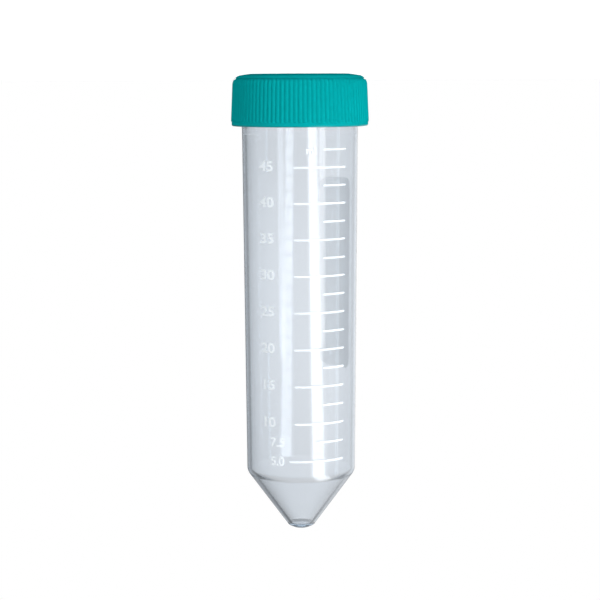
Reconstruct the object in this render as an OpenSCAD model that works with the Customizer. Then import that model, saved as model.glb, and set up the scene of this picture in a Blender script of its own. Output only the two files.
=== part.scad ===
// 50 ml conical centrifuge tube with a ribbed screw cap.
//
// The closed tube stands upside down on the flat top of its cap. The origin is the
// centre of that face, and +Z runs along the axis towards the conical tip.
// The screw thread is right-handed: the tube, turned counter-clockwise as seen from
// its tip, rises out of the cap by one lead a turn.

/* [Tube] */
// Length of the tube from its rim to its tip
tube_len = 114.4; // [80:0.1:140]
// Outside diameter of the body next to the neck
body_d = 29.2; // [24:0.1:36]
// How much smaller the body's radius is at the shoulder than next to the neck
body_draft = 0.675; // [0:0.025:1.5]
// Wall of the straight body
wall = 1.1; // [0.9:0.05:1.6]
// How far the neck stands proud of the body, each side
neck_step = 0.05; // [0.02:0.01:0.2]
// Length of neck that shows beyond the open edge of the cap
neck_reveal = 2.15; // [1:0.05:6]
// Rounding of the edges of the rim
rim_round = 0.35; // [0.1:0.05:0.4]

/* [Conical end] */
// Height of the conical end
cone_h = 15.3; // [10:0.1:22]
// Wall of the cone, square to its surface
cone_wall = 1.1; // [0.9:0.05:2]
// Diameter where the cone meets the chamfer of the tip
tip_d = 6.7; // [6:0.05:9]
// Diameter of the flat on the tip
tip_flat_d = 3.8; // [2:0.1:5.2]
// Height of the chamfer round the tip
tip_chamfer_h = 0.7; // [0.3:0.05:1]
// Rounding of both edges of the chamfer
tip_round = 1; // [0.2:0.1:1.5]
// Thickness of the floor inside the tip
floor_t = 1.6; // [1.05:0.05:2.4]
// Rounding between the floor and the cone, inside
floor_round = 0.5; // [0.1:0.1:1]
// Rounding of the shoulder, outside
shoulder_round = 2.5; // [1:0.1:5]
// Rounding of the shoulder, inside
inner_round = 1.4; // [0.6:0.1:4]

/* [Thread] */
// Rise of the thread in one turn
thread_lead = 4; // [3.2:0.1:4.4]
// Turns of thread on the neck
neck_turns = 1.4; // [1:0.1:1.6]
// Plain bore left between the cap's thread and its open edge
thread_margin = 0.7; // [0.4:0.1:1.5]
// Height of both threads above their walls
thread_h = 0.9; // [0.6:0.05:1.1]
// Width of both threads at the root
thread_root_w = 1.7; // [1.3:0.1:1.8]
// Width of both threads at the crest
thread_crest_w = 0.9; // [0.5:0.1:1.1]
// Distance from the rim to the middle of the neck's first turn
thread_start = 2.5; // [2.2:0.1:3.5]

/* [Cap] */
// Height of the cap
cap_h = 13; // [12.4:0.05:18]
// Thickness of the top of the cap
cap_top_t = 1.5; // [1:0.1:2.5]
// Wall of the skirt between the ribs, at the top
cap_wall_top = 0.7; // [0.5:0.05:1.2]
// Wall of the skirt between the ribs, at the open edge
cap_wall_edge = 1.2; // [0.75:0.05:1.8]
// Diameter of the flat on the cap's top
top_flat_d = 24.6; // [18:0.2:28]
// Height of the shallow bevel between that flat and the corner
bevel_h = 0.6; // [0.3:0.05:1]
// Rounding of the corner
corner_round = 2.5; // [1:0.1:3]
// Number of grip ribs
rib_count = 96; // [48:4:120]
// Height of the ribs above the valleys
rib_h = 0.32; // [0.15:0.01:0.4]
// Width of a rib at its foot
rib_w = 0.75; // [0.6:0.01:0.8]
// Draft of a rib's flanks, in degrees
rib_draft = 15; // [0:1:15]
// Height of the plain band at the open edge
band_h = 1.1; // [0.8:0.1:2.5]
// How far the band stands proud of the valleys
band_proud = 0.15; // [0.05:0.01:0.3]
// Rounding of the band's outer edge
edge_round = 0.35; // [0.1:0.05:0.6]

/* [Seal] */
// Thickness of the sealing liner
liner_t = 0.8; // [0.5:0.1:1.2]
// How far the liner reaches past the neck, each side
liner_reach = 0.6; // [0.45:0.05:0.9]
// Grip of the retaining bead over the edge of the liner
bead_grip = 0.2; // [0.1:0.05:0.3]
// Width of the bead's crest
bead_w = 0.2; // [0.1:0.05:0.4]

/* [Clearances] */
// Radial gap between each thread's crest and the wall that it faces
thread_gap = 0.3; // [0.2:0.05:0.5]
// Gap between the flanks that carry the load
flank_gap = 0.2; // [0.1:0.05:0.3]
// Gap round the liner and over it
liner_gap = 0.15; // [0.1:0.05:0.25]

/* [Hidden] */
$fn = 180;

// Steps of a thread in one turn, and the angle over which each end runs out
thread_steps = 60;
run_out = 30;
// How deep a thread's root is sunk into its own wall
sink = 0.2;
// Share by which a rounding's circle is larger, so that it crosses the outline's edges
// where it would only touch them and leave slivers
round_lap = 0.0005;
// Chamfer that leads into the cap's bore
lead_in = 0.3;
// Overshoot of a cut past the face that it opens
cut = 1;

// Levels, above the face that the cap stands on or below the tube's rim
rim_z = cap_top_t + liner_t;
bead_z = rim_z + liner_gap;
band_z = cap_h - band_h;
neck_len = cap_h - rim_z + neck_reveal;
shoulder_s = tube_len - cone_h;
floor_s = tube_len - floor_t;

// Radii of the tube
body_r = body_d / 2;
neck_r = body_r + neck_step;
mouth_r = body_r - wall;
shoulder_r = body_r - body_draft;

// Slope of the cone, its radial wall, and where the inner cone meets the body's bore
cone_slope = (shoulder_r - tip_d / 2) / (cone_h - tip_chamfer_h);
cone_wall_r = cone_wall / cos(atan(cone_slope));
inner_shoulder_s = shoulder_s - (cone_wall_r - wall) / cone_slope;
floor_r = shoulder_r - cone_wall_r - cone_slope * (floor_s - shoulder_s);

// Radii of the cap and the liner
bore_r = neck_r + thread_h + thread_gap;
valley_top_r = bore_r + cap_wall_top;
valley_edge_r = bore_r + cap_wall_edge;
liner_r = neck_r + liner_reach;
bead_r = liner_r - bead_grip;

// At the same angle, the cap's thread lies this far beyond the neck's
flank_offset = (thread_root_w + thread_crest_w) / 2 + flank_gap
    - (thread_root_w - thread_crest_w) / 2 * thread_gap / thread_h;
// The cap's thread starts a quarter of a turn before the neck's
cap_start_angle = -90;
cap_start_z = rim_z + thread_start + flank_offset + thread_lead * cap_start_angle / 360;
cap_turns = (cap_h - thread_margin - thread_root_w / 2 - cap_start_z) / thread_lead;

function unit(v) = v / norm(v);

// What rounding takes off the corner "at" of an outline
module corner_waste(before, at, after, r) {
    a = unit(before - at);
    b = unit(after - at);
    inward = unit(a + b);
    half = acos(a * b) / 2;
    centre = at + inward * r / sin(half);
    past_corner = r / 20;
    difference() {
        polygon([
            at - inward * past_corner,
            at + a * r / tan(half),
            centre,
            at + b * r / tan(half)
        ]);
        translate(centre)
            circle(r = r * (1 + round_lap));
    }
}

// An outline with some corners rounded: each of rounds is [corner number, radius]
module rounded_outline(points, rounds) {
    count = len(points);
    difference() {
        polygon(points);
        for (one = rounds)
            corner_waste(
                points[(one[0] + count - 1) % count],
                points[one[0]],
                points[(one[0] + 1) % count],
                one[1]
            );
    }
}

// Share of a thread's full height at an angle along it, less where its ends run out
function thread_rise(angle, full) =
    min(1, angle / run_out, (full - angle) / run_out);

// A helical ridge on a wall of radius wall_r, outward (side = 1) or inward (side = -1)
module thread(wall_r, side, turns, start_angle) {
    steps = ceil(turns * thread_steps);
    full = turns * 360;
    points = [
        for (i = [0 : steps])
            let (
                angle = full * i / steps,
                turn = start_angle + angle,
                z = thread_lead * angle / 360,
                root = wall_r - side * sink,
                rise = thread_rise(angle, full) * (thread_h + sink / 2),
                crest = root + side * (sink / 2 + rise)
            )
            for (corner = [
                [root, -thread_root_w / 2],
                [crest, -thread_crest_w / 2],
                [crest, thread_crest_w / 2],
                [root, thread_root_w / 2]
            ])
                [corner[0] * cos(turn), corner[0] * sin(turn), z + corner[1]]
    ];
    walls = [
        for (i = [0 : steps - 1])
            for (k = [0 : 3])
                let (
                    a = 4 * i + k,
                    b = 4 * i + (k + 1) % 4
                )
                each [[a, b, b + 4], [a, b + 4, a + 4]]
    ];
    start_face = [3, 2, 1, 0];
    end_face = [for (k = [0 : 3]) 4 * steps + k];
    outward = concat(walls, [start_face, end_face]);
    // An inward ridge is a mirror image, so its faces turn the other way
    inward = [for (face = outward) [for (k = [len(face) - 1 : -1 : 0]) face[k]]];
    polyhedron(points = points, faces = side > 0 ? outward : inward, convexity = 4);
}

// Half section of the tube's outside, from the rim at 0 to the tip
module tube_outside() {
    rounded_outline(
        [
            [0, 0],
            [neck_r, 0],
            [neck_r, neck_len],
            [body_r, neck_len],
            [shoulder_r, shoulder_s],
            [tip_d / 2, tube_len - tip_chamfer_h],
            [tip_flat_d / 2, tube_len],
            [0, tube_len]
        ],
        [[1, rim_round], [4, shoulder_round], [5, tip_round], [6, tip_round]]
    );
}

// Half section of the tube's hollow, open past the rim
module tube_hollow() {
    rounded_outline(
        [
            [0, -cut],
            [mouth_r, -cut],
            [mouth_r, neck_len],
            [shoulder_r - wall, inner_shoulder_s],
            [floor_r, floor_s],
            [0, floor_s]
        ],
        [[3, inner_round], [4, floor_round]]
    );
    corner_waste([mouth_r, wall], [mouth_r, 0], [neck_r, 0], rim_round);
}

// The tube: one thin-walled moulding with its thread
module conical_tube() {
    color([0.82, 0.86, 0.9])
        translate([0, 0, rim_z])
            difference() {
                union() {
                    rotate_extrude()
                        tube_outside();
                    translate([0, 0, thread_start])
                        thread(neck_r, 1, neck_turns, 0);
                }
                rotate_extrude()
                    tube_hollow();
            }
}

// Half section of the cap's outside over the crests of the ribs
module crest_outline() {
    top_r = valley_top_r + rib_h;
    edge_r = valley_edge_r + rib_h;
    rounded_outline(
        [[0, 0], [top_flat_d / 2, 0], [top_r, bevel_h], [edge_r, band_z], [0, band_z]],
        [[2, corner_round]]
    );
}

// Half section of the cap's outside in the valleys
module valley_outline() {
    polygon([[0, 0], [valley_top_r, 0], [valley_edge_r, band_z], [0, band_z]]);
}

// All the ribs seen along the axis, their flanks carried on past foot and crest
module rib_star() {
    foot_r = (valley_top_r + valley_edge_r) / 2;
    low_r = valley_top_r - rib_h;
    high_r = valley_edge_r + 2 * rib_h;
    low_w = rib_w + 2 * (foot_r - low_r) * tan(rib_draft);
    high_w = rib_w - 2 * (high_r - foot_r) * tan(rib_draft);
    for (i = [0 : rib_count - 1])
        rotate(i * 360 / rib_count)
            polygon([
                [low_r, -low_w / 2],
                [high_r, -high_w / 2],
                [high_r, high_w / 2],
                [low_r, low_w / 2]
            ]);
}

// Half section of the plain band round the open edge
module edge_band() {
    band_r = valley_edge_r + band_proud;
    rounded_outline(
        [[0, band_z], [band_r, band_z], [band_r, cap_h], [0, cap_h]],
        [[2, edge_round]]
    );
}

// Half section of the cap's hollow, with the bead that keeps the liner in
module cap_hollow() {
    polygon([
        [0, cap_top_t],
        [liner_r + liner_gap, cap_top_t],
        [liner_r + liner_gap, bead_z],
        [bead_r, bead_z + bead_grip],
        [bead_r, bead_z + bead_grip + bead_w],
        [bore_r, bead_z + bead_grip + bead_w + bore_r - bead_r],
        [bore_r, cap_h - lead_in],
        [bore_r + lead_in, cap_h],
        [bore_r + lead_in, cap_h + cut],
        [0, cap_h + cut]
    ]);
}

// The cap: flat top, ribbed skirt, thread and bead in one moulding
module screw_cap() {
    color([0.02, 0.6, 0.62])
        difference() {
            union() {
                intersection() {
                    rotate_extrude()
                        crest_outline();
                    union() {
                        rotate_extrude()
                            valley_outline();
                        linear_extrude(height = band_z)
                            rib_star();
                    }
                }
                rotate_extrude()
                    edge_band();
            }
            difference() {
                rotate_extrude()
                    cap_hollow();
                translate([0, 0, cap_start_z])
                    thread(bore_r, -1, cap_turns, cap_start_angle);
            }
        }
}

// The liner: a soft disc between the cap's top and the tube's rim
module seal_liner() {
    color([0.93, 0.93, 0.9])
        translate([0, 0, cap_top_t])
            cylinder(h = liner_t, r = liner_r);
}

conical_tube();
screw_cap();
seal_liner();
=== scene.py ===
"""Looks of a closed conical tube that stands on its cap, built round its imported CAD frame."""
import math

import bmesh
import bpy
import numpy as np
from mathutils import Matrix, Vector


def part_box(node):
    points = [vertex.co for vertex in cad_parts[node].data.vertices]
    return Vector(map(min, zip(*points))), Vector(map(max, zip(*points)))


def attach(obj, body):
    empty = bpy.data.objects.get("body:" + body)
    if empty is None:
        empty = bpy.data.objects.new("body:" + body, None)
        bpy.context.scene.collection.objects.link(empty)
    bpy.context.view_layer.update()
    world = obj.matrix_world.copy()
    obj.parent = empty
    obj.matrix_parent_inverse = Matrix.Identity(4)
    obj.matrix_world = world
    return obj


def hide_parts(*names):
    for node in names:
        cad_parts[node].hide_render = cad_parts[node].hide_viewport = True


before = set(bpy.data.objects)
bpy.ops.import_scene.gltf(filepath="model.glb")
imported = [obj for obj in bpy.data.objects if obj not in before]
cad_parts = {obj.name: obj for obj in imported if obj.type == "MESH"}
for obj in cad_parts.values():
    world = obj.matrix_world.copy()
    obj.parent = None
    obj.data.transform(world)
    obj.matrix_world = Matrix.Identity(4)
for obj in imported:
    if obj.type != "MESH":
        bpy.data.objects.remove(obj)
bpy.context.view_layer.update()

MM = 0.001
WHITE = (1, 1, 1, 1)

# ---------------------------------------------------------------- sizes, in millimetres
# Names in _Z are heights over the cap's flat top, on which the tube stands, and names in _S are
# distances from the tube's rim towards its tip.
TOP_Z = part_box("conical_tube")[1][2] / MM
RIM_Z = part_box("conical_tube")[0][2] / MM
CAP_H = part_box("screw_cap")[1][2] / MM
CAP_TOP_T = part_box("seal_liner")[0][2] / MM
TUBE_LEN = TOP_Z - RIM_Z

# The tube. The neck's step is spread over NECK_RUN to both sides, with a faint mark in the middle.
WALL = 1.1
BODY_R = 14.6
BODY_DRAFT = 0.675
SHOULDER_R = BODY_R - BODY_DRAFT
NECK_STEP = 0.05
NECK_R = BODY_R + NECK_STEP
NECK_REVEAL = 2.15
NECK_LEN = CAP_H - RIM_Z + NECK_REVEAL
NECK_RUN = 1.5
NECK_MARK = 0.12
NECK_MARK_DEPTH = 0.007
RIM_ROUND = 0.35
CONE_H = 15.3
CONE_WALL = 1.1
TIP_R = 3.35
TIP_FLAT_R = 1.9
TIP_CHAMFER = 0.7
TIP_ROUND = 1.0
FLOOR_T = 1.6
FLOOR_ROUND = 0.5
SHOULDER_ROUND = 2.5
INNER_ROUND = 2.1
SHOULDER_S = TUBE_LEN - CONE_H
CONE_SLOPE = (SHOULDER_R - TIP_R) / (CONE_H - TIP_CHAMFER)
CONE_WALL_R = CONE_WALL * math.hypot(1, CONE_SLOPE)
INNER_SHOULDER_S = SHOULDER_S - (CONE_WALL_R - WALL) / CONE_SLOPE
FLOOR_S = TUBE_LEN - FLOOR_T
FLOOR_R = SHOULDER_R - CONE_WALL_R - CONE_SLOPE * (FLOOR_S - SHOULDER_S)

THREAD_LEAD = 4.0
THREAD_H = 0.9
THREAD_ROOT = 1.7
THREAD_CREST = 0.9
THREAD_RUN_OUT = 30.0
NECK_THREAD_S = 2.5
NECK_TURNS = 1.4

# The cap and the liner. THREAD_GAP is between each thread's crest and the wall that it faces,
# FLANK_GAP between the flanks that carry the load, and LINER_GAP round the liner and over it.
# CREST names are over the ribs, and VALLEY names between them.
THREAD_GAP = 0.3
FLANK_GAP = 0.2
LINER_GAP = 0.15
BORE_R = NECK_R + THREAD_H + THREAD_GAP
CAP_WALL_TOP = 0.7
CAP_WALL_EDGE = 1.2
VALLEY_TOP_R = BORE_R + CAP_WALL_TOP
VALLEY_EDGE_R = BORE_R + CAP_WALL_EDGE
RIB_COUNT = 96
RIB_H = 0.32
CREST_TOP_R = VALLEY_TOP_R + RIB_H
CREST_EDGE_R = VALLEY_EDGE_R + RIB_H
BAND_PROUD = 0.15
BAND_R = VALLEY_EDGE_R + BAND_PROUD
BAND_H = 1.1
BAND_Z = CAP_H - BAND_H
TOP_FLAT_R = 12.3
BEVEL_H = 0.6
CORNER_R = 2.5
EDGE_ROUND = 0.35
LEAD_IN = 0.3
LINER_REACH = 0.6
LINER_R = NECK_R + LINER_REACH
LINER_SEAT_ROUND = 0.12
LINER_RIM_ROUND = 0.18
SEAT_R = LINER_R + LINER_GAP
BEAD_GRIP = 0.2
BEAD_R = LINER_R - BEAD_GRIP
BEAD_Z = RIM_Z + LINER_GAP
BEAD_FLANK = 0.2
BEAD_H = 0.4
BEAD_TOP = BEAD_Z + BEAD_H

# At the same angle, the cap's thread lies FLANK_OFFSET beyond the neck's. It starts a quarter of
# a turn before the neck's and stays CAP_THREAD_END off the cap's open end.
FLANK_OFFSET = (
    (THREAD_ROOT + THREAD_CREST) / 2 + FLANK_GAP
    - (THREAD_ROOT - THREAD_CREST) / 2 * THREAD_GAP / THREAD_H
)
CAP_START_DEG = -90.0
CAP_THREAD_Z = RIM_Z + NECK_THREAD_S + FLANK_OFFSET + THREAD_LEAD * CAP_START_DEG / 360
CAP_THREAD_END = 0.7
CAP_TURNS = (CAP_H - CAP_THREAD_END - THREAD_ROOT / 2 - CAP_THREAD_Z) / THREAD_LEAD

# The ribs as they look: rounded valleys under the corner's groove. Each rib has RIB_SAMPLES
# columns of the mesh, and RIB_FLANK is the share of its pitch that one flank takes up. Over
# BAND_RUN, which starts BAND_BEFORE ahead of the band, the ribs run out into it.
RIB_SAMPLES = 12
RIB_DEPTH = 0.23
RIB_FLANK = 0.4
RIB_END = 0.06
GROOVE_FROM = 1.02
GROOVE_DEPTH = 0.32
GROOVE_RUN = 0.16
RIBS_FROM = 1.42
BAND_BEFORE = 0.2
BAND_RUN = 0.3

# The print: a film over the body. Its places are in degrees from the front and in heights above
# the tip. SCALE_LEAN is how far the marks' right ends move for each millilitre.
INK_GAP = 0.012
INK_T = 0.02
INK_R = 14.3
DEG_PER_MM = math.degrees(1 / INK_R)
FIRST_MARK = 5
FIRST_HEIGHT = 20.25
TICK_T = 0.5
TICK_END = 0.8
SCALE_RIGHT = 50.5
SCALE_RIGHT_AT = 45
SCALE_LEAN = 0.05
LONG_LEFT, LOWEST_LONG_LEFT = -6.5, -12.0
SHORT_LEFT, LOWEST_SHORT_LEFT = 23.0, 17.0
FONT_CAPITAL = 0.72
FONT_BOLD = 0.022
GLYPH_EDGE = 0.35
NUMBER_AT, NUMBER_H, NUMBER_LIFT, NUMBER_WIDEN = -35.2, 2.5, 0.3, 1.22
SMALL_NUMBER_H = 2.3
UNIT_AT, UNIT_H, UNIT_DROP = 10.6, 1.9, 0.2
PATCH_LEFT, PATCH_RIGHT = 106.0, 158.5
PATCH_FROM, PATCH_TO = 40.8, 90.2
PATCH_CORNER = 2.2


# ---------------------------------------------------------------- outlines and surfaces
def unit(v):
    return v / np.linalg.norm(v)


def smoothstep(t):
    """A soft step from 0 to 1, for a number or an array."""
    t = np.clip(t, 0.0, 1.0)
    return t * t * (3 - 2 * t)


def rounded(points, rounds, step=9.0):
    """An outline whose corners named in rounds ({number: radius}) are turned into arcs."""
    points = [np.array(p, float) for p in points]
    out = []
    for i, at in enumerate(points):
        if i not in rounds:
            out.append(at)
            continue
        a = unit(points[i - 1] - at)
        b = unit(points[i + 1] - at)
        half = math.acos(float(a @ b)) / 2
        reach = rounds[i] / math.tan(half)
        centre = at + unit(a + b) * rounds[i] / math.sin(half)
        first = at + a * reach - centre
        last = at + b * reach - centre
        turn0 = math.atan2(first[1], first[0])
        sweep = (math.atan2(last[1], last[0]) - turn0 + math.pi) % (2 * math.pi) - math.pi
        steps = max(2, math.ceil(abs(math.degrees(sweep)) / step))
        for k in range(steps + 1):
            turn = turn0 + sweep * k / steps
            out.append(centre + rounds[i] * np.array([math.cos(turn), math.sin(turn)]))
    return out


def denser(points, longest, margin=0.1):
    """The same outline with no stretch over longest, and a point close to each corner."""
    out = [points[0]]
    for a, b in zip(points[:-1], points[1:]):
        span = float(np.linalg.norm(b - a))
        if span > 3 * margin:
            steps = max(1, math.ceil((span - 2 * margin) / longest))
            shares = [margin + (span - 2 * margin) * k / steps for k in range(steps + 1)]
            out += [a + (b - a) * s / span for s in shares]
        out.append(b)
    return out


def thread_rise(degrees, along, start, start_degrees, turns):
    """Height of a helical ridge over its wall, at angles and at heights along the axis."""
    full = turns * 360
    rise = np.zeros(np.broadcast(degrees, along).shape)
    for lap in range(-1, 4):
        angle = degrees - start_degrees + 360 * lap
        share = np.clip(np.minimum(angle, full - angle) / THREAD_RUN_OUT, 0, 1)
        off = np.abs(along - start - THREAD_LEAD * angle / 360)
        flank = (THREAD_ROOT / 2 - off) / ((THREAD_ROOT - THREAD_CREST) / 2)
        rise = np.maximum(rise, THREAD_H * share * smoothstep(flank))
    return rise


def circle(radius, height, columns):
    """A ring of points; radius is one number, or one for each column."""
    turn = np.arange(columns) * 2 * math.pi / columns
    radius = np.broadcast_to(radius, (columns,))
    return np.stack([radius * np.cos(turn), radius * np.sin(turn), np.full(columns, height)], 1)


def skin(name, start, rings, end, finishes=None):
    """A closed surface from the point start over the rings to the point end.

    Neighbouring rings have as many points, or one has a whole multiple of the other's.
    finishes holds the material number of each stretch between two rings.
    """
    verts = [np.array([start])] + list(rings) + [np.array([end])]
    firsts = np.cumsum([0] + [len(v) for v in verts])
    faces, numbers = [], []
    for k in range(len(verts) - 1):
        a, b = len(verts[k]), len(verts[k + 1])
        few, many = min(a, b), max(a, b)
        ratio = many // few
        lo, hi = (firsts[k], firsts[k + 1]) if a <= b else (firsts[k + 1], firsts[k])
        flip = a > b
        if few == 1:
            new = [[lo, hi + (j + 1) % many, hi + j] for j in range(many)]
        else:
            new = [
                [lo + j, lo + (j + 1) % few]
                + [hi + (ratio * j + m) % many for m in range(ratio, -1, -1)]
                for j in range(few)
            ]
        if flip:
            new = [face[::-1] for face in new]
        faces += new
        numbers += [finishes[k] if finishes else 0] * len(new)
    mesh = bpy.data.meshes.new(name)
    mesh.from_pydata((np.concatenate(verts) * MM).tolist(), [], faces)
    mesh.polygons.foreach_set("material_index", numbers)
    mesh.polygons.foreach_set("use_smooth", [True] * len(mesh.polygons))
    return add(name, mesh)


def add(name, mesh):
    """An object of the mesh, with its faces turned outwards."""
    work = bmesh.new()
    work.from_mesh(mesh)
    bmesh.ops.recalc_face_normals(work, faces=work.faces)
    work.to_mesh(mesh)
    work.free()
    made = bpy.data.objects.new(name, mesh)
    bpy.context.scene.collection.objects.link(made)
    return made


# ---------------------------------------------------------------- the tube
def tube_outline():
    """Half section as (radius, distance from the rim): tip, outside, rim, bore, floor."""
    mid_r = (BODY_R + NECK_R) / 2
    return rounded(
        [
            (0, TUBE_LEN),
            (TIP_FLAT_R, TUBE_LEN),
            (TIP_R, TUBE_LEN - TIP_CHAMFER),
            (SHOULDER_R, SHOULDER_S),
            (BODY_R, NECK_LEN + NECK_RUN),
            (mid_r, NECK_LEN + NECK_MARK),
            (mid_r - NECK_MARK_DEPTH, NECK_LEN),
            (mid_r, NECK_LEN - NECK_MARK),
            (NECK_R, NECK_LEN - NECK_RUN),
            (NECK_R, 0),
            (BODY_R - WALL, 0),
            (BODY_R - WALL, NECK_LEN),
            (SHOULDER_R - WALL, INNER_SHOULDER_S),
            (FLOOR_R, FLOOR_S),
            (0, FLOOR_S),
        ],
        {
            1: TIP_ROUND, 2: TIP_ROUND, 3: SHOULDER_ROUND, 9: RIM_ROUND, 10: RIM_ROUND,
            12: INNER_ROUND, 13: FLOOR_ROUND,
        },
        step=6.0,
    )


def build_tube():
    """The wall in rings, which lie closer on the neck's outside, where the thread rises."""
    columns = 288
    wall_step, thread_step = 1.6, 0.14
    degrees = np.arange(columns) * 360 / columns
    outline = tube_outline()
    thread_end = NECK_THREAD_S + NECK_TURNS * THREAD_LEAD + THREAD_ROOT
    rings = []
    outer = True
    for a, b in zip(outline[:-1], outline[1:]):
        # The outside ends where the outline runs along the rim
        outer = outer and max(a[1], b[1]) > 1e-6
        threaded = outer and min(a[0], b[0]) > NECK_R - 0.01
        for radius, s in denser([a, b], thread_step if threaded else wall_step)[:-1]:
            if threaded and s < thread_end:
                radius = radius + thread_rise(degrees, s, NECK_THREAD_S, 0, NECK_TURNS)
            rings.append(circle(radius, RIM_Z + s, columns))
    return skin("tube_wall", (0, 0, TOP_Z), rings[1:], (0, 0, RIM_Z + FLOOR_S))


# ---------------------------------------------------------------- the cap
def cap_corner():
    """Outline of the cap's corner over the ribs' crests, as (radius, height) from the flat out."""
    outline = rounded(
        [(TOP_FLAT_R, 0), (CREST_TOP_R, BEVEL_H), (CREST_EDGE_R, BAND_Z)], {1: CORNER_R}, step=5.0,
    )
    return denser(outline[:2], 0.8) + outline[2:-1]


def crest_radius(z):
    """Radius over the crests of the ribs, below the corner."""
    return CREST_TOP_R + (CREST_EDGE_R - CREST_TOP_R) * (z - BEVEL_H) / (BAND_Z - BEVEL_H)


def cap_ring(z, columns, over=None):
    """The cap's outside at a height: ribs and band in one, and the groove over the ribs."""
    over = crest_radius(z) if over is None else over
    if z < RIBS_FROM:
        groove = GROOVE_DEPTH * smoothstep((z - GROOVE_FROM) / GROOVE_RUN)
        return circle(over - groove, z, columns)
    phase = (np.arange(columns) % RIB_SAMPLES) / RIB_SAMPLES
    phase = np.minimum(phase, 1 - phase)
    shape = smoothstep((0.5 - phase) / RIB_FLANK)
    # The valleys start below the corner, so that the ribs have square ends
    valley = over - RIB_DEPTH * smoothstep((z - RIBS_FROM) / RIB_END)
    radius = valley + (over - valley) * shape
    to_band = smoothstep((z - BAND_Z + BAND_BEFORE) / BAND_RUN)
    return circle(radius * (1 - to_band) + BAND_R * to_band, z, columns)


def build_cap():
    """Flat, corner, groove, ribs and band, then the bore with its thread, the bead and the seat."""
    grip, edge = 0, 1
    fine = RIB_COUNT * RIB_SAMPLES
    coarse = fine // 4
    degrees = np.arange(coarse) * 360 / coarse
    rings, finishes = [], [grip]

    def put(ring, finish):
        rings.append(ring)
        finishes.append(finish)

    for radius in (3.0, 7.0, 10.5):
        put(circle(radius, 0, RIB_COUNT), grip)
    put(circle(TOP_FLAT_R - 0.25, 0, coarse), grip)

    # The corner, the groove, the ribs, the band and its rounded edge
    corner = cap_corner()
    heights = [p[1] for p in corner]
    radii = [p[0] for p in corner]
    for radius, z in corner[:-1]:
        if z < GROOVE_FROM:
            put(circle(radius, z, coarse if z < 0.3 else fine), grip)
    in_groove = (0.02, 0.05, 0.08, 0.11, 0.14, 0.18, 0.25, 0.33, 0.39)
    in_ribs = (0.01, 0.03, 0.05, 0.07, 0.12, 0.2, 0.32, 0.46, 0.62, 0.8, 1.0, 1.25)
    for z in [GROOVE_FROM + past for past in in_groove] + [RIBS_FROM + past for past in in_ribs]:
        put(cap_ring(z, fine, float(np.interp(z, heights, radii))), grip)
    for z in (3.0, 4.0, 5.5, 7.0, 8.5, 10.0, 11.0):
        put(cap_ring(z, fine), grip)
    for past in (-0.35, -0.2, -0.15, -0.1, -0.05, 0.0, 0.05, 0.12, 0.3):
        put(cap_ring(BAND_Z + past, fine), grip)
    steps = 6
    for k in range(steps + 1):
        turn = math.radians(90 * k / steps)
        radius = BAND_R - EDGE_ROUND * (1 - math.cos(turn))
        put(circle(radius, CAP_H - EDGE_ROUND * (1 - math.sin(turn)), fine), edge)

    # The open end, with a lead-in
    put(circle(BORE_R + LEAD_IN + 0.15, CAP_H, coarse), edge)
    put(circle(BORE_R + LEAD_IN, CAP_H - 0.02, coarse), edge)
    put(circle(BORE_R + 0.04, CAP_H - LEAD_IN, coarse), edge)

    # The bore, down to the bead's flank
    bore_end = BEAD_TOP + BORE_R - BEAD_R
    for z in np.linspace(CAP_H - LEAD_IN - 0.08, bore_end + 0.05, 66):
        rise = thread_rise(degrees, z, CAP_THREAD_Z, CAP_START_DEG, CAP_TURNS)
        put(circle(BORE_R - rise, z, coarse), edge)
    put(circle(BORE_R - 0.03, bore_end - 0.03, coarse), edge)

    # The bead that holds the liner, and the seat under it
    put(circle(BEAD_R, BEAD_TOP, coarse), edge)
    put(circle(BEAD_R, BEAD_Z + BEAD_FLANK, coarse), edge)
    put(circle(SEAT_R, BEAD_Z, coarse), edge)
    put(circle(SEAT_R, CAP_TOP_T + 0.05, coarse), edge)
    put(circle(SEAT_R - 0.05, CAP_TOP_T, coarse), edge)
    for radius in (14.0, 9.0, 4.0):
        put(circle(radius, CAP_TOP_T, RIB_COUNT), edge)
    return skin("cap_shell", (0, 0, 0), rings, (0, 0, CAP_TOP_T), finishes)


def build_liner():
    """The soft disc, with rolled edges."""
    outline = rounded(
        [(0, CAP_TOP_T), (LINER_R, CAP_TOP_T), (LINER_R, RIM_Z), (0, RIM_Z)],
        {1: LINER_SEAT_ROUND, 2: LINER_RIM_ROUND}, step=15.0,
    )
    rings = [circle(p[0], p[1], 192) for p in denser(outline, 2.5)[1:-1]]
    return skin("liner_disc", (0, 0, CAP_TOP_T), rings, (0, 0, RIM_Z))


# ---------------------------------------------------------------- the print
def body_radius(z):
    """Radius of the tube's outside at a height in the body."""
    share = (z - RIM_Z - NECK_LEN) / (SHOULDER_S - NECK_LEN)
    return BODY_R + (SHOULDER_R - BODY_R) * share


def on_tube(degrees, z, lift):
    """A point over the body, at an angle from the front towards the scale's side."""
    turn = math.radians(degrees)
    radius = body_radius(z) + lift
    return (-radius * math.sin(turn) * MM, -radius * math.cos(turn) * MM, z * MM)


def ink(name, verts, faces):
    """A thin closed film on the tube from flat faces; verts are (mm to the right, height)."""
    count = len(verts)
    points = [on_tube(u * DEG_PER_MM, z, INK_GAP + INK_T) for u, z in verts]
    points += [on_tube(u * DEG_PER_MM, z, INK_GAP) for u, z in verts]
    directed = set()
    for face in faces:
        for a, b in zip(face, list(face[1:]) + [face[0]]):
            directed.add((a, b))
    walls = [(b, a, a + count, b + count) for a, b in directed if (b, a) not in directed]
    backs = [[v + count for v in reversed(face)] for face in faces]
    mesh = bpy.data.meshes.new(name)
    mesh.from_pydata(points, [], [list(f) for f in faces] + backs + walls)
    return add(name, mesh)


def z_of(height):
    """Height above the stand of a mark given above the tip."""
    return TOP_Z - height


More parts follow.
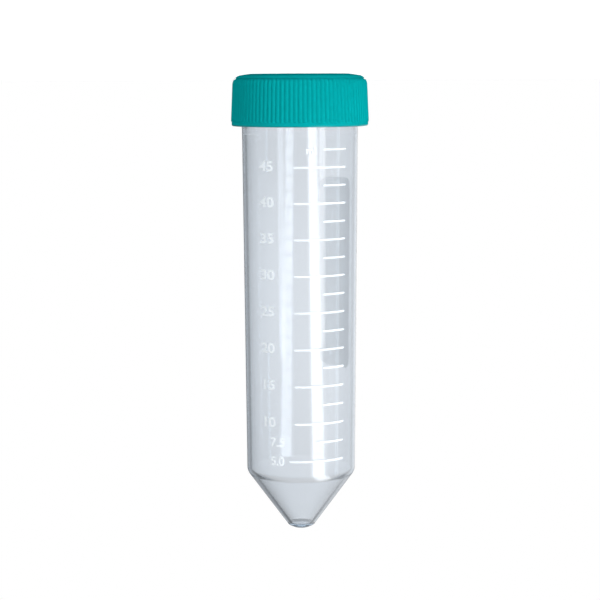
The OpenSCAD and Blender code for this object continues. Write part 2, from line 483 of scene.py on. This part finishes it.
def tick_height(volume):
    """Height above the tip of the mark for a volume in millilitres: the bore widens upwards."""
    taper = (BODY_R - SHOULDER_R) / (SHOULDER_S - NECK_LEN)
    first_r = SHOULDER_R - WALL + taper * (FIRST_HEIGHT - CONE_H)
    cubed = first_r**3 + 3 * taper * (volume - FIRST_MARK) * 1000 / math.pi
    return FIRST_HEIGHT + (cubed ** (1 / 3) - first_r) / taper


def strip(verts, faces, left, right, z, thickness):
    """Adds one tick, with softly cut ends."""
    steps = max(4, int((right - left) / 2))
    first = len(verts)
    for k in range(steps + 1):
        degrees = left + (right - left) * k / steps
        half = thickness / 2 * (TICK_END if k in (0, steps) else 1.0)
        u = degrees / DEG_PER_MM
        verts += [(u, z + half), (u, z - half)]
    for k in range(steps):
        a = first + 2 * k
        faces.append([a, a + 1, a + 3, a + 2])


def build_ticks():
    """A long mark at each 5 ml and a short one between, with the lowest of each kind longer."""
    verts, faces = [], []
    for step in range(2, 20):
        volume = 2.5 * step
        if volume % 5 == 0:
            left = LOWEST_LONG_LEFT if volume == 5 else LONG_LEFT
        else:
            left = LOWEST_SHORT_LEFT if volume == 7.5 else SHORT_LEFT
        right = SCALE_RIGHT - SCALE_LEAN * (SCALE_RIGHT_AT - volume)
        strip(verts, faces, left, right, z_of(tick_height(volume)), TICK_T)
    return ink("scale_marks", verts, faces)


def glyphs(verts, faces, text, centre_degrees, z, height, widen=1.0):
    """Adds the flat faces of a short text whose capitals are height tall."""
    curve = bpy.data.curves.new("glyphs", "FONT")
    curve.body = text
    curve.size = 1.0
    curve.offset = FONT_BOLD
    curve.resolution_u = 4
    curve.align_x = "CENTER"
    holder = bpy.data.objects.new("glyphs", curve)
    bpy.context.scene.collection.objects.link(holder)
    bpy.context.view_layer.update()
    shown = holder.evaluated_get(bpy.context.evaluated_depsgraph_get())
    mesh = bpy.data.meshes.new_from_object(shown)
    bpy.data.objects.remove(holder)
    bpy.data.curves.remove(curve)
    work = bmesh.new()
    work.from_mesh(mesh)
    bpy.data.meshes.remove(mesh)
    bmesh.ops.remove_doubles(work, verts=work.verts, dist=1e-5)
    bmesh.ops.triangulate(work, faces=work.faces)
    ys = [v.co.y for v in work.verts]
    scale = height / FONT_CAPITAL
    # Short edges, so that the flat text can follow the round body
    for _ in range(3):
        long = [e for e in work.edges if e.calc_length() * scale > GLYPH_EDGE]
        if not long:
            break
        bmesh.ops.subdivide_edges(work, edges=long, cuts=1)
        bmesh.ops.triangulate(work, faces=work.faces)
    middle = (min(ys) + max(ys)) / 2
    shift = centre_degrees / DEG_PER_MM
    first = len(verts)
    work.verts.index_update()
    for v in work.verts:
        # The tube stands on its cap, so the text is turned with it
        verts.append((v.co.x * scale * widen + shift, z - (v.co.y - middle) * scale))
    for f in work.faces:
        faces.append([first + v.index for v in f.verts])
    work.free()


def build_numbers():
    """The numerals to the left of their marks, and the unit beside the top mark."""
    verts, faces = [], []
    for volume in range(10, 50, 5):
        z = z_of(tick_height(volume) + NUMBER_LIFT)
        glyphs(verts, faces, str(volume), NUMBER_AT, z, NUMBER_H, NUMBER_WIDEN)
    for text, volume, centre, widen in (("7.5", 7.5, -24.9, 1.08), ("5.0", 5, -25.2, 1.0)):
        glyphs(verts, faces, text, centre, z_of(tick_height(volume)), SMALL_NUMBER_H, widen)
    glyphs(verts, faces, "ml", UNIT_AT, z_of(tick_height(47.5) - UNIT_DROP), UNIT_H)
    return ink("scale_numbers", verts, faces)


def build_patch():
    """The frosted field for notes on the far side."""
    left, right = PATCH_LEFT / DEG_PER_MM, PATCH_RIGHT / DEG_PER_MM
    low, high = z_of(PATCH_TO), z_of(PATCH_FROM)
    columns, rows = 36, 60
    verts, faces = [], []
    for j in range(rows + 1):
        z = low + (high - low) * j / rows
        inset = 0.0
        for off in (z - low, high - z):
            if off < PATCH_CORNER:
                reach = PATCH_CORNER**2 - (PATCH_CORNER - off) ** 2
                inset = PATCH_CORNER - math.sqrt(max(0.0, reach))
        for i in range(columns + 1):
            verts.append((left + inset + (right - left - 2 * inset) * i / columns, z))
    for j in range(rows):
        for i in range(columns):
            a = j * (columns + 1) + i
            faces.append([a, a + 1, a + columns + 2, a + columns + 1])
    return ink("writing_patch", verts, faces)


# ---------------------------------------------------------------- materials
def material(name, **values):
    """A material, its node tree and its shader with the values set."""
    made = bpy.data.materials.new(name)
    made.use_nodes = True
    shader = made.node_tree.nodes["Principled BSDF"]
    for key, value in values.items():
        shader.inputs[key.replace("_", " ")].default_value = value
    return made, made.node_tree, shader


def node(tree, kind, **values):
    """A node whose inputs or settings have the values."""
    made = tree.nodes.new(kind)
    for key, value in values.items():
        if key in made.inputs:
            made.inputs[key].default_value = value
        else:
            setattr(made, key, value)
    return made


def noise(tree, scale, detail, stretch=(1, 1, 1)):
    """Noise over the object in its own frame, squeezed or stretched along its axes."""
    where = node(tree, "ShaderNodeTexCoord")
    fit = node(tree, "ShaderNodeMapping")
    fit.inputs["Scale"].default_value = stretch
    made = node(tree, "ShaderNodeTexNoise", Scale=scale, Detail=detail)
    tree.links.new(where.outputs["Object"], fit.inputs["Vector"])
    tree.links.new(fit.outputs["Vector"], made.inputs["Vector"])
    return made.outputs["Fac"]


def spread(tree, source, low, high):
    """Maps a noise, which mostly lies between 0.3 and 0.7, to a range."""
    made = node(tree, "ShaderNodeMapRange")
    made.inputs["From Min"].default_value = 0.3
    made.inputs["From Max"].default_value = 0.7
    made.inputs["To Min"].default_value = low
    made.inputs["To Max"].default_value = high
    tree.links.new(source, made.inputs["Value"])
    return made.outputs["Result"]


def blend(tree, source, shader, low, high):
    """A base colour that drifts between two colours with a noise."""
    # The colour sockets of a mix node: 6, 7 and the output 2
    mix = node(tree, "ShaderNodeMix", data_type="RGBA")
    mix.inputs[6].default_value = low
    mix.inputs[7].default_value = high
    tree.links.new(source, mix.inputs[0])
    tree.links.new(mix.outputs[2], shader.inputs["Base Color"])


def roughen(tree, source, shader, low, high):
    tree.links.new(spread(tree, source, low, high), shader.inputs["Roughness"])


def bump(tree, source, shader, distance, strength):
    made = node(tree, "ShaderNodeBump", Strength=strength, Distance=distance)
    tree.links.new(source, made.inputs["Height"])
    tree.links.new(made.outputs["Normal"], shader.inputs["Normal"])


def ramp_between(tree, source, low, high, start, end):
    """Goes softly from start at low to end at high."""
    made = node(tree, "ShaderNodeMapRange", interpolation_type="SMOOTHSTEP")
    made.inputs["From Min"].default_value = low
    made.inputs["From Max"].default_value = high
    made.inputs["To Min"].default_value = start
    made.inputs["To Max"].default_value = end
    tree.links.new(source, made.inputs["Value"])
    return made.outputs["Result"]


def switch(tree, flag, off, on):
    """One of two values, or of two outputs, by a flag that is 0 or 1."""
    # The number sockets of a mix node: 2, 3 and the output 0
    made = node(tree, "ShaderNodeMix", data_type="FLOAT")
    tree.links.new(flag, made.inputs[0])
    for value, socket in ((off, made.inputs[2]), (on, made.inputs[3])):
        if isinstance(value, (int, float)):
            socket.default_value = value
        else:
            tree.links.new(value, socket)
    return made.outputs[0]


def times(tree, a, b):
    made = node(tree, "ShaderNodeMath", operation="MULTIPLY")
    tree.links.new(a, made.inputs[0])
    tree.links.new(b, made.inputs[1])
    return made.outputs[0]


def tube_plastic():
    made, tree, shader = material(
        "tube_plastic", Base_Color=(0.985, 0.99, 1.0, 1), IOR=1.49, Transmission_Weight=1.0,
    )
    drift = noise(tree, scale=220.0, detail=2.0, stretch=(1, 1, 0.25))
    roughen(tree, drift, shader, 0.05, 0.085)
    bump(tree, drift, shader, distance=0.00001, strength=0.5)
    absorb = node(tree, "ShaderNodeVolumeAbsorption", Color=(0.109, 0.345, 0.564, 1), Density=110.0)
    tree.links.new(absorb.outputs["Volume"], tree.nodes["Material Output"].inputs["Volume"])
    return made


def cap_plastic(name, gloss, tint, rough_low, rough_high, grain, painted_shade=1.0):
    made, tree, shader = material(name, Specular_IOR_Level=gloss, Specular_Tint=tint)
    # painted_shade darkens the base colour, a painted shade; at 1.0 there is none
    low = (0.001, 0.262 * painted_shade, 0.275 * painted_shade, 1)
    high = (0.001, 0.282 * painted_shade, 0.295 * painted_shade, 1)
    blend(tree, noise(tree, scale=90.0, detail=4.0), shader, low, high)
    fine = noise(tree, scale=2600.0, detail=3.0)
    roughen(tree, fine, shader, rough_low, rough_high)
    bump(tree, fine, shader, distance=grain, strength=0.6)
    return made


def liner_foam():
    made, tree, shader = material("liner_foam", Specular_IOR_Level=0.3)
    cells = noise(tree, scale=1800.0, detail=4.0)
    blend(tree, cells, shader, (0.80, 0.80, 0.78, 1), (0.88, 0.88, 0.86, 1))
    roughen(tree, cells, shader, 0.5, 0.7)
    bump(tree, cells, shader, distance=0.00003, strength=0.5)
    return made


def white_ink(name, low, high, clear, rough=0.5, grain=0.4):
    made, tree, shader = material(name, Specular_IOR_Level=0.35, Transmission_Weight=clear)
    tone = noise(tree, scale=900.0, detail=3.0)
    blend(tree, tone, shader, low, high)
    roughen(tree, tone, shader, rough, rough + 0.12)
    bump(tree, tone, shader, distance=0.00001, strength=grain)
    return made


# ---------------------------------------------------------------- pieces on their bodies
def dress(piece, body, slot, *materials, stands_for=None):
    """Gives a piece its materials and its body, and hides the CAD node it stands for. slot is not
    used.
    """
    for made in materials:
        piece.data.materials.append(made)
    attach(piece, body)
    if stands_for:
        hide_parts(stands_for)


TEAL_GLOSS = (0.0, 0.85, 0.95, 1)
SCALE_INK = ((0.71, 0.76, 0.81, 1), (0.73, 0.78, 0.83, 1))
NUMBER_INK = ((0.86, 0.92, 0.97, 1), (0.88, 0.93, 0.98, 1))
PATCH_INK = ((0.97, 0.985, 1.0, 1), (0.98, 0.995, 1.0, 1))
dress(build_tube(), "tube", "tube_plastic", tube_plastic(), stands_for="conical_tube")
dress(
    build_cap(), "cap", "cap_plastic",
    cap_plastic("cap_grip", 0.0, TEAL_GLOSS, rough_low=0.42, rough_high=0.55, grain=0.00004),
    # The band's edge, the open end and the bore: glossier, and with the base painted 11 % darker as
    # shade, as dark as the shaded ribs
    cap_plastic(
        "cap_edge", 0.3, WHITE, rough_low=0.2, rough_high=0.28, grain=0.00001, painted_shade=0.89,
    ),
    stands_for="screw_cap",
)
dress(build_liner(), "liner", "liner_foam", liner_foam(), stands_for="seal_liner")
dress(build_ticks(), "tube", "print_ink", white_ink("scale_ink", *SCALE_INK, clear=0.1))
dress(build_numbers(), "tube", "print_ink", white_ink("number_ink", *NUMBER_INK, clear=0.2))
dress(
    build_patch(), "tube", "print_ink",
    white_ink("patch_ink", *PATCH_INK, clear=0.98, rough=0.3, grain=0.05),
)

# ---------------------------------------------------------------- camera
# Distances in metres, angles in radians and the lens in millimetres
CAM_DISTANCE = 0.4158
CAM_HEIGHT = 0.002
CAM_TILT = 0.1323
CAM_ROLL = 0.0037
CAM_SIDE = 0.00015
CAM_LENS = 98.43
CAM_SENSOR = 36


def build_camera():
    """Looks along +Y and up, upside down, because the photo has the cap on top."""
    tilt_c, tilt_s = math.cos(CAM_TILT), math.sin(CAM_TILT)
    forward = Vector((0, tilt_c, tilt_s))
    level = Vector((-1, 0, 0))
    rise = Vector((0, tilt_s, -tilt_c))
    right = level * math.cos(CAM_ROLL) - rise * math.sin(CAM_ROLL)
    up = level * math.sin(CAM_ROLL) + rise * math.cos(CAM_ROLL)
    lens = bpy.data.cameras.new("camera")
    lens.lens = CAM_LENS
    lens.sensor_width = CAM_SENSOR
    lens.clip_start = 0.01
    lens.clip_end = 100
    camera = bpy.data.objects.new("camera", lens)
    bpy.context.scene.collection.objects.link(camera)
    turn = Matrix((right, up, -forward)).transposed().to_4x4()
    camera.matrix_world = Matrix.Translation((CAM_SIDE, -CAM_DISTANCE, CAM_HEIGHT)) @ turn
    bpy.context.scene.camera = camera


build_camera()

# ---------------------------------------------------------------- floor
# In metres. It glows at FLOOR_SEEN where it is looked at, which whitens the background, and at
# FLOOR_THROUGH times that through the tube, so that clear plastic shows on white. As light it
# gives FLOOR_GIVES.
FLOOR_HALF, FLOOR_Z = 4.0, -0.00005
FLOOR_GIVES = 0.36
FLOOR_SEEN = 0.7
FLOOR_THROUGH = 0.7


def build_floor():
    corners = ((-1, -1), (1, -1), (1, 1), (-1, 1))
    mesh = bpy.data.meshes.new("floor")
    mesh.from_pydata(
        [(x * FLOOR_HALF, y * FLOOR_HALF, FLOOR_Z) for x, y in corners], [], [(0, 1, 2, 3)],
    )
    floor = bpy.data.objects.new("floor", mesh)
    bpy.context.scene.collection.objects.link(floor)
    made, tree, shader = material(
        "floor", Base_Color=(0.9, 0.9, 0.9, 1), Roughness=0.8, Specular_IOR_Level=0.0,
    )
    path = node(tree, "ShaderNodeLightPath")
    level = switch(tree, path.outputs["Is Camera Ray"], FLOOR_GIVES, FLOOR_SEEN)
    level = switch(tree, path.outputs["Is Glossy Ray"], level, FLOOR_SEEN)
    through = FLOOR_SEEN * FLOOR_THROUGH
    level = switch(tree, path.outputs["Is Transmission Ray"], level, through)
    shader.inputs["Emission Color"].default_value = WHITE
    tree.links.new(level, shader.inputs["Emission Strength"])
    mesh.materials.append(made)


build_floor()

# ---------------------------------------------------------------- world
# Light on matt surfaces: a level, a little more from FILL_FROM, and a bounce from +X
FILL_LEVEL = 0.16
FILL_LEAN = 0.05
FILL_BOUNCE = 0.9
FILL_FROM = (-0.84, -0.54, 0.0)
BACKDROP_AT = (-0.3, 0.954, 0.0)
WARM = (1.0, 0.975, 0.95, 1)


def towards(tree, direction, way):
    """How far a direction points the given way."""
    made = node(tree, "ShaderNodeVectorMath", operation="DOT_PRODUCT")
    made.inputs[1].default_value = way
    tree.links.new(direction, made.inputs[0])
    return made.outputs["Value"]


def ramps(tree, source, *stretches):
    """Product of soft ramps of one value, each given as (low, high, start, end)."""
    made = ramp_between(tree, source, *stretches[0])
    for stretch in stretches[1:]:
        made = times(tree, made, ramp_between(tree, source, *stretch))
    return made


def build_world():
    """A white studio, as bright as each direction needs for matt, gloss and clear surfaces."""
    world = bpy.data.worlds.new("studio")
    world.use_nodes = True
    bpy.context.scene.world = world
    tree = world.node_tree
    glow = tree.nodes["Background"]
    path = node(tree, "ShaderNodeLightPath")
    where = node(tree, "ShaderNodeTexCoord")
    direction = where.outputs["Generated"]
    axes = node(tree, "ShaderNodeSeparateXYZ")
    tree.links.new(direction, axes.inputs["Vector"])
    side, depth, height = axes.outputs["X"], axes.outputs["Y"], axes.outputs["Z"]

    # What lights matt surfaces
    fill = node(tree, "ShaderNodeMath", operation="MULTIPLY_ADD")
    fill.inputs[1].default_value = FILL_LEAN
    tree.links.new(towards(tree, direction, FILL_FROM), fill.inputs[0])
    bounce = ramp_between(tree, side, 0.15, 0.9, FILL_LEVEL, FILL_LEVEL + FILL_BOUNCE)
    tree.links.new(bounce, fill.inputs[2])

    # What gloss shows: a white backdrop, a pale side on -X and a dim one on +X
    gloss = node(tree, "ShaderNodeMath", operation="MAXIMUM")
    tree.links.new(ramp_between(tree, side, 0.35, -0.6, 0.12, 0.75), gloss.inputs[0])
    to_backdrop = towards(tree, direction, BACKDROP_AT)
    tree.links.new(ramp_between(tree, to_backdrop, 0.88, 0.98, 0.0, 1.0), gloss.inputs[1])

    # What shows through: a white backdrop that dims to both sides, upwards and on the camera's
    # side, and is a little brighter again overhead
    aside = ramps(
        tree, side, (0.0, 0.3, 1.0, 0.82), (0.3, 0.6, 1.0, 0.5), (-0.1, -0.35, 1.0, 1.1),
        (-0.35, -0.6, 1.0, 0.7),
    )
    above = ramps(
        tree, height, (0.13, 0.36, 1.0, 0.8), (0.43, 0.58, 0.98, 0.45), (0.03, 0.12, 0.92, 1.0),
        (0.65, 0.85, 1.0, 1.3),
    )
    behind = ramp_between(tree, depth, 0.25, -0.35, 1.0, 0.45)
    through = times(tree, times(tree, aside, above), behind)
    strength = switch(tree, path.outputs["Is Glossy Ray"], fill.outputs[0], gloss.outputs[0])
    strength = switch(tree, path.outputs["Is Transmission Ray"], strength, through)
    strength = switch(tree, path.outputs["Is Camera Ray"], strength, 1.0)

    # What shows through is a little warmer in a band 16 to 31 degrees up
    band = ramps(tree, height, (0.28, 0.45, 0.0, 1.0), (0.45, 0.52, 1.0, 0.0))
    tint = node(tree, "ShaderNodeMix", data_type="RGBA")
    tint.inputs[6].default_value = WHITE
    tint.inputs[7].default_value = WARM
    tree.links.new(times(tree, path.outputs["Is Transmission Ray"], band), tint.inputs[0])
    tree.links.new(tint.outputs[2], glow.inputs["Color"])
    tree.links.new(strength, glow.inputs["Strength"])


build_world()


# ---------------------------------------------------------------- lamps
LAMP_AIM = Vector((0, 0, 0.06))


def seen_at(right_mm, back_mm, above_tip_mm):
    """A place given as the main camera sees it: to the right, away, and above the tip."""
    return Vector((-right_mm, back_mm, TOP_Z - above_tip_mm)) * MM


def strip_lamp(
    name, one_end, other_end, width, radiance, colour=(1, 1, 1),
    diffuse=True, glossy=True, transmission=True,
):
    """A flat softbox between two ends, turned to the tube and unseen by the camera."""
    length = (one_end - other_end).length
    centre = (one_end + other_end) / 2
    lengthways = (one_end - other_end).normalized()
    aim = LAMP_AIM - centre
    facing = (aim - lengthways * aim.dot(lengthways)).normalized()
    across = lengthways.cross(facing).normalized()
    lamp = bpy.data.lights.new(name, "AREA")
    lamp.shape = "RECTANGLE"
    lamp.size = width
    lamp.size_y = length
    lamp.energy = radiance * math.pi * width * length
    lamp.color = colour
    holder = bpy.data.objects.new(name, lamp)
    bpy.context.scene.collection.objects.link(holder)
    basis = Matrix((across, lengthways, -facing)).transposed().to_4x4()
    holder.matrix_world = Matrix.Translation(centre) @ basis
    holder.visible_camera = False
    holder.visible_diffuse = diffuse
    holder.visible_glossy = glossy
    holder.visible_transmission = transmission


# Both long highlights of the tube and their paler edges
key_ends = seen_at(155, -398, 130), seen_at(155, -50, -184)
strip_lamp("key_softbox", *key_ends, width=0.105, radiance=5.2)
strip_lamp("key_edge", *key_ends, width=0.155, radiance=1.1)
# What widens both highlights, except towards the cone, and the pale fields outside them
strip_lamp(
    "window", seen_at(304, -304, 140), seen_at(304, -304, -25), width=0.1, radiance=3.2,
    diffuse=False,
)
strip_lamp(
    "card", seen_at(391, -153, 70), seen_at(391, -153, -85), width=0.24, radiance=0.55,
    diffuse=False,
)
# Light for matt surfaces alone, such as the cap
strip_lamp(
    "fill_softbox", seen_at(590, -840, 250), seen_at(590, -840, -250), width=0.5, radiance=5.9,
    glossy=False, transmission=False,
)
# A thin cold line at the outer edge of the right field
strip_lamp(
    "side_strip", seen_at(396, -55, 160), seen_at(396, -55, -160), width=0.02, radiance=3.0,
    colour=(0.8, 0.93, 1.0),
)

# ---------------------------------------------------------------- scene settings
scene = bpy.context.scene
scene.view_settings.view_transform = "Standard"
scene.cycles.max_bounces = 24
scene.cycles.transmission_bounces = 20
scene.cycles.glossy_bounces = 8
